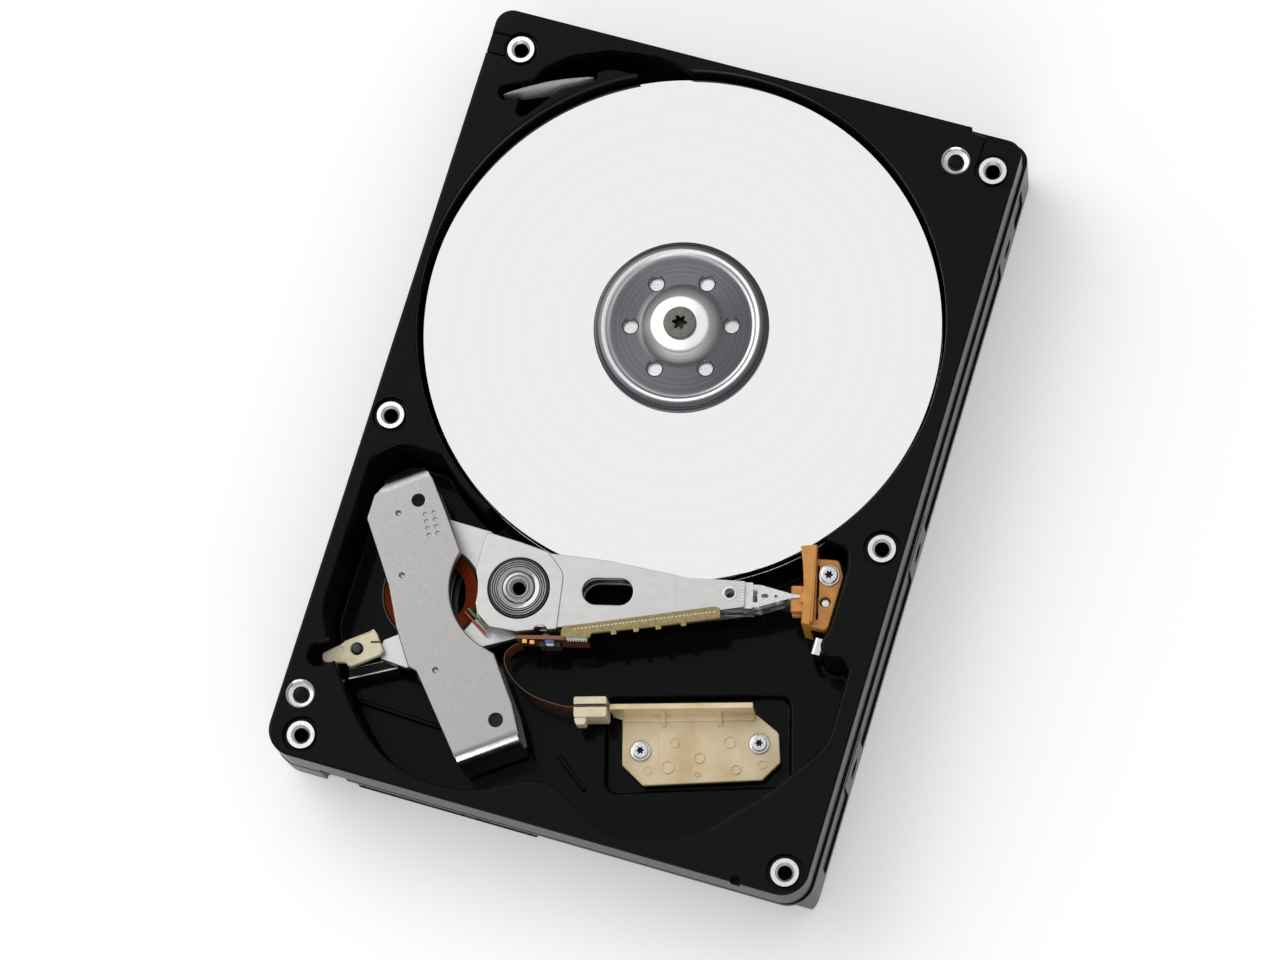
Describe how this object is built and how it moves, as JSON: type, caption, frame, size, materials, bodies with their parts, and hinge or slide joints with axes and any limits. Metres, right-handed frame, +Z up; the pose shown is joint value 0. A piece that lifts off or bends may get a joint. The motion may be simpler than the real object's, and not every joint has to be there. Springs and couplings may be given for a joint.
{
  "type": "hard disk drive",
  "caption": "Hard disk drive with its cover off: black cast base, mirror platters on a spindle, swinging head actuator, voice-coil motor, parking ramp, latch and circuit board.",
  "frame": {"origin": "centre of the bounding box at the base, on the surface the drive lies on", "axes": "+Z up through the open top, +Y along the length away from the connector end, +X to the right when seen from the connector end"},
  "size_m": [0.1016, 0.147, 0.0261],
  "materials": {
    "casting": "satin black electro-coated die casting with bare machined bosses",
    "felt": "grey fibrous felt",
    "rubber": "semi-gloss black",
    "machined": "matte machined aluminium",
    "platter": "mirror polished",
    "clamp": "turned stainless steel",
    "screw": "bright plated steel",
    "steel": "polished stainless steel",
    "nickel": "fine-grained nickel plating",
    "magnet": "nickel plated magnet",
    "copper": "enamelled copper winding",
    "polyimide": "amber brown polyimide over copper",
    "traces": "translucent gold polyimide with fine traces",
    "black_plastic": "fine matte moulding",
    "chip": "matte moulded package",
    "bracket": "translucent cream moulding",
    "ivory": "ivory moulding",
    "ramp": "orange-tan moulding",
    "board": "green solder mask over copper"
  },
  "bodies": {
    "base": {"base_casting": "casting", "recirculation_filter": "felt", "cover_pin_rear": "rubber", "cover_pin_front": "rubber", "motor_base": "machined", "wound_stator": "copper", "yoke_bottom": "nickel", "magnet_bottom": "magnet", "magnet_top": "magnet", "yoke_top": "nickel", "crash_stop": "rubber", "pivot_shaft": "steel", "flex_cable": "polyimide", "flex_bracket": "bracket", "flex_clamp": "ivory", "bracket_screw_left": "screw", "bracket_screw_right": "screw", "head_connector": "black_plastic", "latch_post": "steel", "load_ramp": "ramp", "ramp_screw": "screw", "ramp_tab": "nickel", "circuit_board": "board", "sata_connector": "black_plastic", "jumper_block": "black_plastic", "controller_chip": "chip", "memory_chip": "chip", "motor_driver_chip": "chip", "motor_contacts": "black_plastic", "board_screw_1": "screw", "board_screw_2": "screw", "board_screw_3": "screw", "board_screw_4": "screw", "board_screw_5": "screw"},
    "spindle": {"spindle_hub": "machined", "spindle_shaft": "steel", "rotor_magnet": "magnet", "platter_lower": "platter", "platter_spacer": "machined", "platter_upper": "platter", "disk_clamp": "clamp", "clamp_screw": "screw"},
    "actuator": {"actuator_carriage": "machined", "pivot_sleeve": "steel", "voice_coil": "copper", "coil_frame": "black_plastic", "suspension_1": "steel", "suspension_2": "steel", "suspension_3": "steel", "suspension_4": "steel", "actuator_flex": "polyimide", "preamp_chip": "chip", "trace_tail": "traces"},
    "latch": {"latch": "ivory"}
  },
  "joints": [
    {"name": "spindle_spin", "type": "hinge", "parent": "base", "child": "spindle", "pos_m": [-0.0007, 0.02215, 0.015], "axis": [0, 0, 1], "continuous": true},
    {"name": "actuator_swing", "type": "hinge", "parent": "base", "child": "actuator", "pos_m": [-0.0147, -0.0327, 0.02], "axis": [0, 0, 1], "range_deg": [0, 41], "deforming": ["flex_cable"]},
    {"name": "latch_swing", "type": "hinge", "parent": "base", "child": "latch", "pos_m": [-0.0403, -0.0508, 0.0203], "axis": [0, 0, 1], "range_deg": [-8, 8]}
  ]
}
